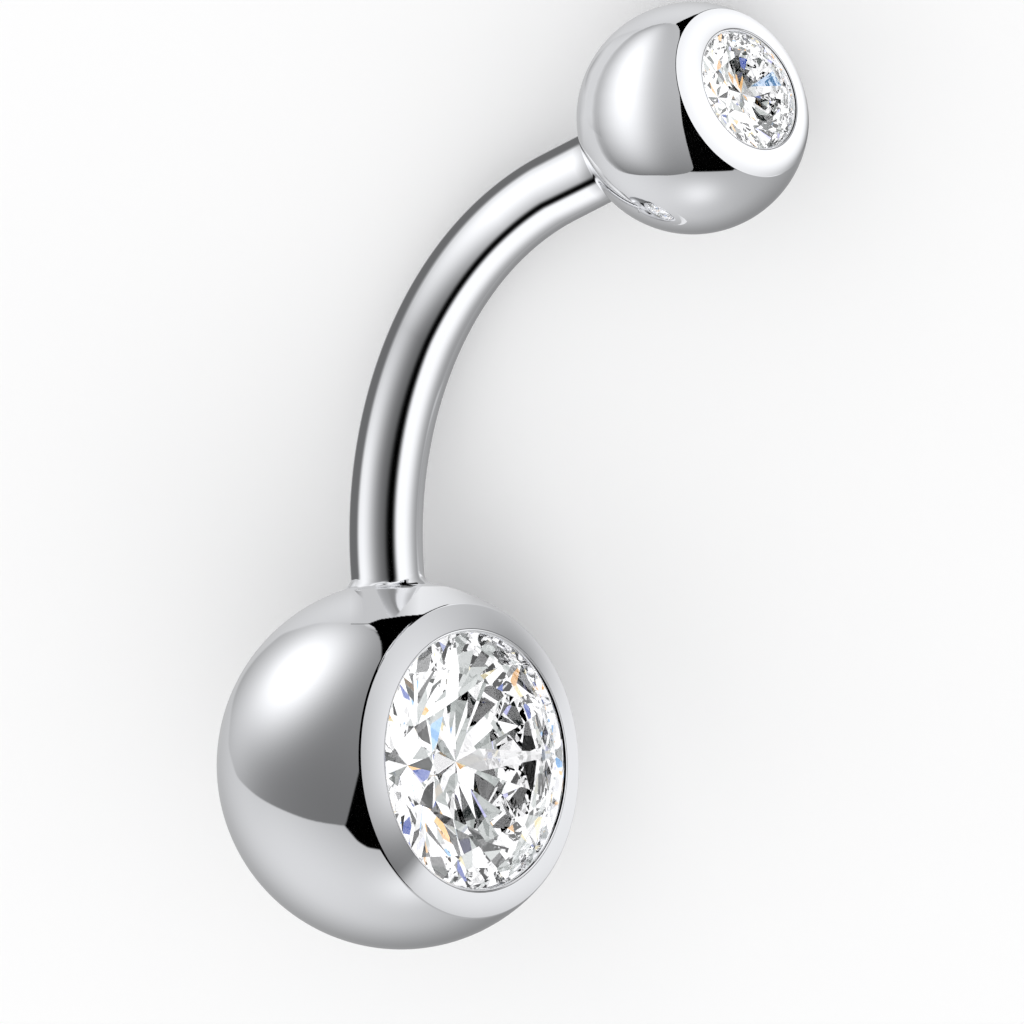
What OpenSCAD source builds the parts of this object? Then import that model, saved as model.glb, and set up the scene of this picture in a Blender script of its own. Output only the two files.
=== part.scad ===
// Navel ring: a bent bar with a large jewelled ball soldered to its lower end and a
// small jewelled ball that screws on at its top. It lies on its side, on both balls
// and the back of the bend, with its longest direction along X.

/* [Bar] */
// Thickness of the bar (14 gauge)
bar_d = 1.6; // [1.2:0.1:2]
// Bend radius along the middle of the bar
bend_r = 8.4; // [7:0.1:12]
// Angle that the bar is bent through
bend_a = 73; // [50:1:85]
// Straight stretch between the solder and the bend
foot_len = 0.1; // [0.1:0.1:3]
// Straight stretch between the bend and the top ball
end_len = 1.8; // [0.5:0.1:4]
// Radius of the solder fillet where the bar joins the lower ball
solder_r = 0.25; // [0.1:0.05:0.5]

/* [Thread] */
// Diameter over the crests of the thread
thread_d = 1.56; // [1.3:0.02:1.7]
// Diameter at the roots of the thread
root_d = 1.2; // [0.9:0.05:1.25]
// Distance from one turn of the thread to the next
thread_pitch = 0.35; // [0.25:0.05:0.5]
// Length of the bar that goes into the top ball
post_len = 2.1; // [1.6:0.1:2.3]
// Plain stretch of that length before the thread starts
plain_len = 0.2; // [0.2:0.05:0.6]

/* [Lower ball and stone] */
// Diameter of the lower ball
lower_ball_d = 8; // [7.5:0.1:10]
// Diameter of the lower stone over its girdle
lower_stone_d = 5.6; // [4.5:0.1:5.8]
// Width of the metal rim round the lower stone
lower_rim_w = 0.64; // [0.4:0.02:0.7]
// Height that the rim rises from its outer edge to the stone
lower_rim_rise = 0.2; // [0.05:0.05:0.3]
// Depth of the lower stone's girdle below the rim
lower_recess = 0.32; // [0.2:0.02:0.5]

/* [Top ball and stone] */
// Diameter of the top ball
top_ball_d = 5; // [4.5:0.1:6]
// Diameter of the top stone over its girdle
top_stone_d = 2.7; // [2:0.1:3]
// Width of the metal rim round the top stone
top_rim_w = 0.46; // [0.3:0.02:0.5]
// Height that the rim rises from its outer edge to the stone
top_rim_rise = 0.08; // [0.02:0.02:0.2]
// Depth of the top stone's girdle below the rim
top_recess = 0.16; // [0.1:0.02:0.3]

/* [Cut of the stones, as shares of the girdle's diameter] */
// Width of the table across its corners
table_share = 0.61; // [0.5:0.01:0.7]
// Height of the crown
crown_share = 0.115; // [0.08:0.005:0.16]
// Thickness of the girdle
girdle_share = 0.03; // [0.02:0.005:0.05]
// Depth of the pavilion
pavilion_share = 0.43; // [0.4:0.005:0.45]
// Reach of the star facets from the table towards the girdle
star_share = 0.5; // [0.4:0.05:0.6]
// Reach of the lower girdle facets from the girdle towards the point
lower_half_share = 0.77; // [0.6:0.01:0.85]

/* [Fits] */
// Gap between the top ball's bore and the bar
bore_gap = 0.03; // [0.02:0.01:0.06]
// Gap between the bar's tip and the end of the bore
tip_gap = 0.05; // [0.03:0.01:0.1]
// Gap between a stone and its seat
seat_gap = 0.03; // [0.02:0.01:0.05]
// Reach of the metal lip over the edge of a stone
lip_lap = 0.02; // [0.01:0.01:0.05]
// Bevel on the edge of the metal lip
lip_c = 0.05; // [0.02:0.01:0.1]
// Bevel on the mouth of the bore, up from the ball's lowest point
mouth_c = 0.2; // [0.15:0.05:0.3]

/* [Hidden] */
$fn = 96;

bar_r = bar_d / 2;
lower_r = lower_ball_d / 2;
top_r = top_ball_d / 2;
bore_r = max(bar_d, thread_d) / 2 + bore_gap;

// Radius of the small well below a stone's point, as a share of the stone's radius
well_share = 0.12;
// Depth that the solder's fillet sinks into the ball, so that the two join
solder_sink = 0.01;
// How far the straight end starts inside the bend, and how much thinner it is there
end_lap = 0.1;
end_relief = 0.005;
// Flank of one turn of the thread, as a share of the pitch
flank_share = 0.3;
// Least plain length beside the turns of the thread
thread_margin = 0.05;
// Straight steps that the fillet's curve is made in
fillet_steps = 8;
// Facets of one kind round a stone, and girdle points for each half facet
mains = 8;
half_steps = 3;

// Middle of the solder fillet's curve, which meets the bar at its height
solder_x = bar_r + solder_r;
solder_z = sqrt(pow(lower_r + solder_r - solder_sink, 2) - solder_x * solder_x);

// The bar's line in its own upright frame: up from the lower ball's middle, then
// round the bend towards +X
foot_z = solder_z + foot_len;
bend_centre = [bend_r, 0, foot_z];
bend_end = bend_centre + bend_r * [-cos(bend_a), 0, sin(bend_a)];
end_way = [sin(bend_a), 0, cos(bend_a)];
top_centre = bend_end + (end_len + top_r) * end_way;

function turn_x(p, a) = [p.x, p.y * cos(a) - p.z * sin(a), p.y * sin(a) + p.z * cos(a)];
function turn_y(p, a) = [p.x * cos(a) + p.z * sin(a), p.y, p.z * cos(a) - p.x * sin(a)];
function turn_z(p, a) = [p.x * cos(a) - p.y * sin(a), p.x * sin(a) + p.y * cos(a), p.z];

// How it lies: the floor touches the lower ball, the top ball and the back of the
// bend, which fixes the floor's slope (lean_share) and its heading in the bend's plane
ball_step = (lower_r - top_r) / (lower_r - bar_r);
lean_x = top_centre.x - ball_step * bend_centre.x;
lean_z = top_centre.z - ball_step * bend_centre.z;
heading = atan2(lean_z, lean_x) - acos(-ball_step * bend_r / norm([lean_x, lean_z]));
lean_share = (top_r - lower_r) / (top_centre.x * cos(heading) + top_centre.z * sin(heading));
lay_y = heading - 90;
lay_x = -acos(lean_share);
tipped_top = turn_x(turn_y(top_centre, lay_y), lay_x);
lay_z = -atan2(tipped_top.y, tipped_top.x);

function laid(p) = turn_z(turn_x(turn_y(p, lay_y), lay_x), lay_z);
function stood(p) = turn_y(turn_x(turn_z(p, -lay_z), -lay_x), -lay_y);

// Outer radius of a rim, its height on the ball, and how far a ball with such a flat
// reaches in a direction whose share along the stone's axis is n
function rim_r(stone_d, rim_w) = stone_d / 2 - lip_lap + rim_w;
function rim_z(ball_r, r) = sqrt(ball_r * ball_r - r * r);
function ball_reach(ball_r, r, n) =
    n > rim_z(ball_r, r) / ball_r ? rim_z(ball_r, r) * n + r * sqrt(1 - n * n) : ball_r;
function bend_reach(e) = bend_centre * e + bend_r * norm([e.x, e.z]) + bar_r;

lower_rim_r = rim_r(lower_stone_d, lower_rim_w);
top_rim_r = rim_r(top_stone_d, top_rim_w);
span = laid(top_centre).x;
reach_right = span + ball_reach(top_r, top_rim_r, laid(end_way).x);
reach_left = ball_reach(lower_r, lower_rim_r, -laid([1, 0, 0]).x);
reach_front = ball_reach(lower_r, lower_rim_r, -laid([1, 0, 0]).y);
reach_back = bend_reach(stood([0, 1, 0]));
centring = [(reach_left - reach_right) / 2, (reach_front - reach_back) / 2, lower_r];

module lay() {
    translate(centring)
        rotate([0, 0, lay_z])
            rotate([lay_x, 0, 0])
                rotate([0, lay_y, 0])
                    children();
}

module at_lower_stone() {
    rotate([0, 90, 0]) children();
}

module at_top_ball() {
    translate(top_centre) rotate([0, bend_a, 0]) children();
}

// Height of a stone's girdle, at its top edge, above the middle of its ball
function girdle_z(ball_r, r, rise, recess) = rim_z(ball_r, r) + rise - recess;

lower_girdle_z = girdle_z(lower_r, lower_rim_r, lower_rim_rise, lower_recess);
top_girdle_z = girdle_z(top_r, top_rim_r, top_rim_rise, top_recess);

// What is cut from a ball for its rim, lip and stone seat
module setting_cut(ball_r, stone_d, r, rise, recess) {
    stone_r = stone_d / 2;
    lip_r = stone_r - lip_lap;
    groove_r = stone_r + seat_gap;
    well_r = stone_r * well_share;
    rim_in_z = rim_z(ball_r, r) + rise;
    groove_top = rim_in_z - recess + seat_gap;
    groove_floor = rim_in_z - recess - stone_d * girdle_share - seat_gap;
    pavilion_slope = 2 * pavilion_share;
    well_top = groove_floor - (groove_r - well_r) * pavilion_slope;
    well_floor = groove_floor - groove_r * pavilion_slope;
    outside_z = rim_in_z - (ball_r - lip_r) * rise / (r - lip_r);
    rotate_extrude()
        polygon([
            [0, 2 * ball_r],
            [0, well_floor],
            [well_r, well_floor],
            [well_r, well_top],
            [groove_r, groove_floor],
            [groove_r, groove_top],
            [lip_r, groove_top],
            [lip_r, rim_in_z - lip_c],
            [lip_r + lip_c, rim_in_z - lip_c * rise / (r - lip_r)],
            [ball_r, outside_z],
            [ball_r, 2 * ball_r]
        ]);
}

// A round brilliant, with the top edge of its girdle at height 0
module brilliant(d) {
    r = d / 2;
    table_r = r * table_share;
    crown_h = d * crown_share;
    girdle_h = d * girdle_share;
    pavilion_h = d * pavilion_share;
    step = 360 / mains;
    half = step / 2;
    ring = 2 * mains * half_steps;
    fine = 360 / ring;
    star_r = table_r * cos(half) * (1 - star_share) + r * star_share;
    star_z = crown_h * (r - star_r * cos(half)) / (r - table_r);
    keel_r = r * (1 - lower_half_share);
    keel_z = pavilion_h * (keel_r * cos(half) / r - 1);

    // Height of a half facet at the girdle, at angle a from a main facet's middle: its
    // plane holds the girdle's points at 0 and at half, and the point (far_r, far_z)
    function scallop(a, far_r, far_z) =
        far_z * (r * cos(a - half / 2) - r * cos(half / 2))
        / (far_r * cos(half / 2) - r * cos(half / 2));
    function off_main(i) = abs((i * fine + half) % step - half);
    function ring_point(r, a, z) = [r * cos(a), r * sin(a), z];

    points = concat(
        [for (i = [0:mains - 1]) ring_point(table_r, i * step, crown_h)],
        [for (i = [0:mains - 1]) ring_point(star_r, i * step + half, star_z)],
        [for (i = [0:ring - 1]) ring_point(r, i * fine, scallop(off_main(i), star_r, star_z))],
        [for (i = [0:ring - 1])
            ring_point(r, i * fine, scallop(off_main(i), keel_r, keel_z) - girdle_h)],
        [for (i = [0:mains - 1]) ring_point(keel_r, i * step + half, keel_z - girdle_h)],
        [[0, 0, -pavilion_h - girdle_h]]
    );
    function table_i(i) = i % mains;
    function star_i(i) = mains + (i + mains) % mains;
    function upper_i(i) = 2 * mains + (i + ring) % ring;
    function lower_i(i) = 2 * mains + ring + (i + ring) % ring;
    function keel_i(i) = 2 * mains + 2 * ring + (i + mains) % mains;
    point_i = 3 * mains + 2 * ring;
    per_main = 2 * half_steps;

    faces = concat(
        [[for (i = [mains - 1:-1:0]) table_i(i)]],
        [for (i = [0:mains - 1]) [table_i(i), table_i(i + 1), star_i(i)]],
        [for (i = [0:mains - 1]) [table_i(i), star_i(i), upper_i(i * per_main), star_i(i - 1)]],
        [for (i = [0:mains - 1], side = [0, 1]) concat(
            [star_i(i)],
            [for (j = [half_steps:-1:0]) upper_i(i * per_main + side * half_steps + j)])],
        [for (i = [0:ring - 1]) [upper_i(i), upper_i(i + 1), lower_i(i + 1), lower_i(i)]],
        [for (i = [0:mains - 1], side = [0, 1]) concat(
            [keel_i(i)],
            [for (j = [0:half_steps]) lower_i(i * per_main + side * half_steps + j)])],
        [for (i = [0:mains - 1]) [point_i, keel_i(i - 1), lower_i(i * per_main), keel_i(i)]]
    );
    polyhedron(points, faces);
}

// The bar's own end: ridges that stand for the turns of the thread, up from height 0
module threaded_end(len) {
    crest_r = thread_d / 2;
    root_r = root_d / 2;
    turns = floor((len - thread_margin) / thread_pitch);
    start = (len - turns * thread_pitch) / 2;
    flank = thread_pitch * flank_share;
    rotate_extrude()
        polygon(concat(
            [[0, 0], [root_r, 0]],
            [for (i = [0:turns - 1], p = [
                [root_r, 0], [crest_r, flank], [crest_r, thread_pitch - flank],
                [root_r, thread_pitch]
            ]) if (i == 0 || p.y > 0) [p.x, start + i * thread_pitch + p.y]],
            [[root_r, len], [0, len]]
        ));
}

// The bar's foot, from halfway inside the ball, with the solder that flares out onto it
module bar_foot() {
    ball_side = 180 + atan2(solder_z, solder_x);
    rotate_extrude()
        polygon(concat(
            [[0, lower_r / 2]],
            [for (i = [0:fillet_steps])
                let (a = ball_side + (180 - ball_side) * i / fillet_steps)
                    [solder_x + solder_r * cos(a), solder_z + solder_r * sin(a)]],
            [[bar_r, foot_z], [0, foot_z]]
        ));
}

module bar_with_lower_ball() {
    color("silver") lay() {
        difference() {
            sphere(r = lower_r);
            at_lower_stone()
                setting_cut(lower_r, lower_stone_d, lower_rim_r, lower_rim_rise, lower_recess);
        }
        bar_foot();
        translate(bend_centre)
            mirror([1, 0, 0])
                rotate([90, 0, 0])
                    rotate_extrude(angle = bend_a)
                        translate([bend_r, 0]) circle(r = bar_r);
        translate(bend_end) rotate([0, bend_a, 0]) {
            translate([0, 0, -end_lap])
                cylinder(r = bar_r - end_relief, h = end_lap + end_len + plain_len);
            translate([0, 0, end_len + plain_len]) threaded_end(post_len - plain_len);
        }
    }
}

module lower_stone() {
    color("white") lay()
        at_lower_stone()
            translate([0, 0, lower_girdle_z]) brilliant(lower_stone_d);
}

module top_ball() {
    bore_end = post_len + tip_gap - top_r;
    color("silver") lay()
        at_top_ball()
            difference() {
                sphere(r = top_r);
                setting_cut(top_r, top_stone_d, top_rim_r, top_rim_rise, top_recess);
                translate([0, 0, -2 * top_r]) cylinder(r = bore_r, h = bore_end + 2 * top_r);
                translate([0, 0, -top_r]) cylinder(r1 = bore_r + mouth_c, r2 = bore_r, h = mouth_c);
            }
}

module top_stone() {
    color("white") lay()
        at_top_ball()
            translate([0, 0, top_girdle_z]) brilliant(top_stone_d);
}

bar_with_lower_ball();
lower_stone();
top_ball();
top_stone();
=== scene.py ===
# %% [markdown]
# # A jewelled navel ring in polished steel
# The ring has five things to make: a bent bar, a large ball soldered to the bar's lower end, a small ball
# that screws on at the top, and a clear cut stone in each ball. The CAD model already gives their places
# and sizes. This lesson rebuilds the metal as dense smooth surfaces, because a mirror finish shows every
# flat spot, cuts the stones, and sets up a small studio whose cards are what the metal reflects.

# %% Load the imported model
import math

import bpy
import numpy as np
from mathutils import Matrix, Vector


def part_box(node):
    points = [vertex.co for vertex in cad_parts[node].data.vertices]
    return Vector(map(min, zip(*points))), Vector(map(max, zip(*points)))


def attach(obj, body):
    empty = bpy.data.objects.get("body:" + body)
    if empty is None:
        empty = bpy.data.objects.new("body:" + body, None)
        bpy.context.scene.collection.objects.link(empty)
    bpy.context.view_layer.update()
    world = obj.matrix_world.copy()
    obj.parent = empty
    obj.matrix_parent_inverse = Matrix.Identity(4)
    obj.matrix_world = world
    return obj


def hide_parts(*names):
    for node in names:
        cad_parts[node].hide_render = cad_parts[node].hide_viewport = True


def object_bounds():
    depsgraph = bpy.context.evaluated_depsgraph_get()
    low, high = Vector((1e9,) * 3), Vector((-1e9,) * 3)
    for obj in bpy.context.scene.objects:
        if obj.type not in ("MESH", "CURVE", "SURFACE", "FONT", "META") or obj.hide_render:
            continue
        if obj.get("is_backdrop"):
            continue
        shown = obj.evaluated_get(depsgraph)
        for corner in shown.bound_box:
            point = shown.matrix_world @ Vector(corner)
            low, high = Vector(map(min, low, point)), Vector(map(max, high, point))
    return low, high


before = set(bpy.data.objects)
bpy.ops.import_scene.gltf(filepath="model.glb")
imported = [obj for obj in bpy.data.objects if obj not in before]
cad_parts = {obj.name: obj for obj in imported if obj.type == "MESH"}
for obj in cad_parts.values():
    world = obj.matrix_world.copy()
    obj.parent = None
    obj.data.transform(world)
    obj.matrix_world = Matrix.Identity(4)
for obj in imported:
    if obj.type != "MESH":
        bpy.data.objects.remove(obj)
cad_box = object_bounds()
print("CAD nodes:", sorted(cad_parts))

# %% [markdown]
# ## The ring's sizes
# A ring like this is made to standard sizes: 14 gauge wire is 1.6 mm thick, and the balls are 8 and 5 mm.
# The CAD source holds the same numbers, but for the small ball's rim, which is a little broader and higher
# here, as in the photograph. They are written again because this script reads nothing but the packed
# model. One named value for each size, in millimetres, keeps the formulas below readable.

# %% Sizes in millimetres
MM = 0.001
bar_r = 0.8
bend_r, bend_angle = 8.4, math.radians(73)
foot_len, end_len = 0.1, 1.8
solder_r, solder_sink = 0.25, 0.01
thread_r, root_r, thread_pitch = 0.78, 0.6, 0.35
post_len, plain_len = 2.1, 0.2
bore_r, tip_gap, mouth_r = 0.83, 0.05, 0.05
seat_gap, lip_lap, well_share = 0.03, 0.02, 0.12

lower = {"ball_r": 4.0, "stone_d": 5.6, "rim_w": 0.64, "rise": 0.2, "recess": 0.32,
         "edge_r": 0.12, "lip_edge_r": 0.08, "dome": 0.025}
top = {"ball_r": 2.5, "stone_d": 2.7, "rim_w": 0.6, "rise": 0.236, "recess": 0.16,
       "edge_r": 0.1, "lip_edge_r": 0.06, "dome": 0.03}
for ball in (lower, top):
    ball["lip_r"] = ball["stone_d"] / 2 - lip_lap
    ball["rim_r"] = ball["lip_r"] + ball["rim_w"]
    ball["rim_z"] = math.sqrt(ball["ball_r"] ** 2 - ball["rim_r"] ** 2)
    ball["lip_z"] = ball["rim_z"] + ball["rise"]
    ball["girdle_z"] = ball["lip_z"] - ball["recess"]
    print("rim's radii and height:", [round(ball[key], 3) for key in ("rim_r", "lip_r", "rim_z")])

# %% [markdown]
# ## Standing up and lying down
# It is easiest to build the ring upright, with the lower ball's middle at the origin, the bar rising along
# Z and the stone facing X. The real ring can't stand like that: it lies on both balls and the back of the
# bend. The plane through those three points gives the turn from the upright frame to the floor. That is
# surer than turning it by eye, and the CAD model was laid down in the same way.

# %% The bar's line and the turn that lays it down
solder_x = bar_r + solder_r
solder_z = math.sqrt((lower["ball_r"] + solder_r - solder_sink) ** 2 - solder_x ** 2)
foot_z = solder_z + foot_len
bend_centre = np.array([bend_r, 0.0, foot_z])
end_way = np.array([math.sin(bend_angle), 0.0, math.cos(bend_angle)])
bend_end = bend_centre + bend_r * np.array([-math.cos(bend_angle), 0.0, math.sin(bend_angle)])
top_centre = bend_end + (end_len + top["ball_r"]) * end_way


def lying_turn():
    """The turn that puts both balls and the back of the bend on the floor."""
    step = (lower["ball_r"] - top["ball_r"]) / (lower["ball_r"] - bar_r)
    lean = top_centre - step * bend_centre
    heading = math.atan2(lean[2], lean[0]) - math.acos(-step * bend_r / math.hypot(lean[0], lean[2]))
    span = top_centre[0] * math.cos(heading) + top_centre[2] * math.sin(heading)
    share = (top["ball_r"] - lower["ball_r"]) / span
    level = math.sqrt(1 - share ** 2)
    up = np.array([share * math.cos(heading), -level, share * math.sin(heading)])
    along = top_centre - up * (top_centre @ up)
    along /= np.linalg.norm(along)
    return np.stack([along, np.cross(up, along), up])


def turn_y(angle):
    c, s = math.cos(angle), math.sin(angle)
    return np.array([[c, 0, s], [0, 1, 0], [-s, 0, c]])


LAY = lying_turn()
AT_LOWER_STONE = turn_y(math.pi / 2)
AT_TOP_BALL = turn_y(bend_angle)
print("upright Z lies along", (LAY @ [0, 0, 1]).round(3))

# %% [markdown]
# ## Cutting the stones
# A round brilliant has a flat table, a crown of star, main and girdle facets, a thin girdle, and a pavilion
# of long facets that meet in a point. It could be carved from a cone with knife cuts, but every facet is a
# flat polygon between known points, so listing the points gives clean edges and flat faces that glitter.
# The girdle gets many points, since it is the one round line that shows. Its two edges are scalloped, as
# they are where flat facets run into a round girdle.

# %% The points of a round brilliant, with the top edge of its girdle at height 0
table_share, crown_share, girdle_share, pavilion_share = 0.61, 0.115, 0.03, 0.43
star_share, lower_half_share = 0.5, 0.77
mains, half_steps = 8, 8
girdle_steps = 2 * mains * half_steps


def brilliant_points(d):
    r, crown_h, girdle_h, pavilion_h = d / 2, d * crown_share, d * girdle_share, d * pavilion_share
    table_r = r * table_share
    step = math.tau / mains
    half = step / 2
    star_r = table_r * math.cos(half) * (1 - star_share) + r * star_share
    star_z = crown_h * (r - star_r * math.cos(half)) / (r - table_r)
    keel_r = r * (1 - lower_half_share)
    keel_z = pavilion_h * (keel_r * math.cos(half) / r - 1)

    def scallop(a, far_r, far_z):
        level = r * math.cos(half / 2)
        return far_z * (r * math.cos(a - half / 2) - level) / (far_r * math.cos(half / 2) - level)

    def point(radius, a, z):
        return (radius * math.cos(a), radius * math.sin(a), z)

    angles = [i * step / (2 * half_steps) for i in range(girdle_steps)]
    off_main = [abs((a + half) % step - half) for a in angles]
    points = [point(table_r, i * step, crown_h) for i in range(mains)]
    points += [point(star_r, i * step + half, star_z) for i in range(mains)]
    points += [point(r, a, scallop(o, star_r, star_z)) for a, o in zip(angles, off_main)]
    points += [point(r, a, scallop(o, keel_r, keel_z) - girdle_h) for a, o in zip(angles, off_main)]
    points += [point(keel_r, i * step + half, keel_z - girdle_h) for i in range(mains)]
    points += [(0, 0, -pavilion_h - girdle_h)]
    return np.array(points)


# %% The facets between those points
def brilliant_facets():
    def star(i):
        return mains + i % mains

    def over(i):
        return 2 * mains + i % girdle_steps

    def under(i):
        return 2 * mains + girdle_steps + i % girdle_steps

    def keel(i):
        return 2 * mains + 2 * girdle_steps + i % mains

    per_main, tip = 2 * half_steps, 3 * mains + 2 * girdle_steps
    facets = [list(range(mains))]
    for i in range(mains):
        facets.append([star(i), (i + 1) % mains, i])
        facets.append([star(i - 1), over(i * per_main), star(i), i])
        facets.append([tip, keel(i), under(i * per_main), keel(i - 1)])
        for side in (0, 1):
            run = [i * per_main + side * half_steps + j for j in range(half_steps + 1)]
            facets.append([star(i)] + [over(j) for j in run])
            facets.append([keel(i)] + [under(j) for j in reversed(run)])
    facets += [[under(i), under(i + 1), over(i + 1), over(i)] for i in range(girdle_steps)]
    return facets


print("each stone has", len(brilliant_facets()), "facets")

# %% [markdown]
# ## One frame for both models
# The turn is known now, but not yet the place on the floor. The CAD model's lower stone gives it: the new
# stone is laid down and moved so that the middles of the two stones' boxes meet. Everything else follows.

# %% Where the lower ball's middle is
upright = brilliant_points(lower["stone_d"]) + [0, 0, lower["girdle_z"]]
lying = upright @ (LAY @ AT_LOWER_STONE).T
low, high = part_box("lower_stone")
PLACE = (np.array(low) + np.array(high)) / 2 / MM - (lying.min(0) + lying.max(0)) / 2
print("the lower ball's middle is at", PLACE.round(3), "mm")


def laid(points):
    """Upright points in millimetres, laid on the floor in metres."""
    return (np.asarray(points) @ LAY.T + PLACE) * MM


# %% [markdown]
# ## One way to make smooth metal
# Everything metal here is turned or drawn, so its surface is a grid: rows along a profile or a path, and
# steps around. Blender could spin a curve with a Screw modifier, but a mirror needs exact normals where a
# big ball runs into a tiny rounded edge. So each grid carries its own true normals, and a Skin object
# collects several grids into one mesh.

# %% A skin of grids with true normals
same_point = 1e-7


def new_object(name, data):
    made = bpy.data.objects.new(name, data)
    bpy.context.scene.collection.objects.link(made)
    return made


def turns_of(steps):
    return np.linspace(0, math.tau, steps, endpoint=False)


class Skin:
    def __init__(self):
        self.points, self.normals, self.faces, self.count = [], [], [], 0

    def grid(self, points, normals):
        """points and normals are rows x steps x 3, and the steps close on themselves."""
        rows, steps = points.shape[:2]
        row, col = np.meshgrid(np.arange(rows - 1), np.arange(steps), indexing="ij")
        here, beside = row * steps + col, row * steps + (col + 1) % steps
        quads = np.stack([here, beside, beside + steps, here + steps], -1).reshape(-1, 4)
        flat, flat_n = points.reshape(-1, 3), normals.reshape(-1, 3)
        middle = quads[len(quads) // 2]
        face_n = np.cross(flat[middle[2]] - flat[middle[0]], flat[middle[3]] - flat[middle[1]])
        if face_n @ flat_n[middle].sum(0) < 0:
            quads = quads[:, ::-1]
        for quad in quads.tolist():
            slim = [i for k, i in enumerate(quad) if np.abs(flat[i] - flat[quad[k - 1]]).max() > same_point]
            if len(slim) > 2:
                self.faces.append([i + self.count for i in slim])
        self.points.append(flat)
        self.normals.append(flat_n)
        self.count += len(flat)

    def revolve(self, strips, turn, centre=(0, 0, 0), steps=256):
        """Each strip is a list of (radius, height, normal's radius part, normal's height part)."""
        a = turns_of(steps)
        for strip in strips:
            s = np.array(strip)[:, :, None]
            points = np.stack([s[:, 0] * np.cos(a), s[:, 0] * np.sin(a), s[:, 1] + 0 * a], -1)
            normals = np.stack([s[:, 2] * np.cos(a), s[:, 2] * np.sin(a), s[:, 3] + 0 * a], -1)
            self.grid(points @ turn.T + np.array(centre), normals @ turn.T)

    def build(self, name):
        mesh = bpy.data.meshes.new(name)
        mesh.from_pydata(laid(np.concatenate(self.points)).tolist(), [], self.faces)
        mesh.polygons.foreach_set("use_smooth", [True] * len(mesh.polygons))
        normals = np.concatenate(self.normals) @ LAY.T
        normals /= np.linalg.norm(normals, axis=1, keepdims=True)
        mesh.normals_split_custom_set_from_vertices(normals.tolist())
        print(name, "has", len(mesh.polygons), "faces")
        return new_object(name, mesh)


# %% Strips of a profile: arcs and straight lines
def arc(centre, radius, start, stop, steps):
    """A strip round centre, from angle start to stop, whose normals point away from centre."""
    ways = [(math.cos(a), math.sin(a)) for a in np.linspace(start, stop, steps + 1)]
    return [(centre[0] + radius * x, centre[1] + radius * y, x, y) for x, y in ways]


def line(p, q):
    """A straight strip from p to q whose normals point to the left of the way it goes."""
    way = np.array([q[0] - p[0], q[1] - p[1]])
    way /= np.linalg.norm(way)
    return [(*p, -way[1], way[0]), (*q, -way[1], way[0])]


# %% [markdown]
# ## The setting
# The jeweller bores a seat in the ball, drops the stone in and burnishes the metal's edge over it. That
# leaves a slightly domed rim with two soft edges, an outer one where the rim meets the ball and an inner
# one, the lip, that holds the stone. A Bevel modifier would leave small kinks there, which a mirror shows.
# So each soft edge is an arc that touches the surfaces on both its sides. Its middle is found where the
# two circles that it joins, drawn smaller by the arc's radius, cross.

# %% The rim's circles
def crossing(c1, r1, c2, r2, sign):
    """One of the two points where two circles cross."""
    c1, c2 = np.array(c1), np.array(c2)
    d = np.linalg.norm(c2 - c1)
    along = (d * d + r1 * r1 - r2 * r2) / (2 * d)
    way = (c2 - c1) / d
    return c1 + way * along + sign * math.sqrt(r1 * r1 - along * along) * np.array([-way[1], way[0]])


def rim_ends(ball):
    return np.array([ball["rim_r"], ball["rim_z"]]), np.array([ball["lip_r"], ball["lip_z"]])


def rim_dome(ball):
    """The middle and radius of the circle that domes the rim."""
    outer, inner = rim_ends(ball)
    chord = inner - outer
    half = np.linalg.norm(chord) / 2
    dome_r = (half ** 2 + ball["dome"] ** 2) / (2 * ball["dome"])
    away = np.array([chord[1], -chord[0]]) / (2 * half)
    return (outer + inner) / 2 - away * (dome_r - ball["dome"]), dome_r


def soft_edges(ball):
    """The middles of the arcs at the rim's outer edge and at the lip."""
    dome_c, dome_r = rim_dome(ball)
    circles = ((0, 0), ball["ball_r"] - ball["edge_r"], dome_c, dome_r - ball["edge_r"])
    outer, _ = rim_ends(ball)
    edge_c = min([crossing(*circles, sign) for sign in (1, -1)], key=lambda c: np.linalg.norm(c - outer))
    lip_x = ball["lip_r"] + ball["lip_edge_r"]
    lip_z = dome_c[1] + math.sqrt((dome_r - ball["lip_edge_r"]) ** 2 - (lip_x - dome_c[0]) ** 2)
    return edge_c, np.array([lip_x, lip_z])


def angle_of(point, centre=(0, 0)):
    return math.atan2(point[1] - centre[1], point[0] - centre[0])


for ball in (lower, top):
    print("the soft edges' middles are at", [middle.round(3).tolist() for middle in soft_edges(ball)])

# %% The profile of a ball with its rim and seat
side_rows, edge_rows, dome_rows = 148, 12, 24


def rim_strip(ball, start):
    """From the ball's side at angle start, over the rim, to the lip's inner side."""
    dome_c, dome_r = rim_dome(ball)
    edge_c, lip_c = soft_edges(ball)
    edge_a, edge_b, lip_a = angle_of(edge_c), angle_of(edge_c, dome_c), angle_of(lip_c, dome_c)
    strip = arc((0, 0), ball["ball_r"], start, edge_a, side_rows)
    strip += arc(edge_c, ball["edge_r"], edge_a, edge_b, edge_rows)[1:]
    strip += arc(dome_c, dome_r, edge_b, lip_a, dome_rows)[1:]
    strip += arc(lip_c, ball["lip_edge_r"], lip_a, math.pi, edge_rows)[1:]
    return strip


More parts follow.
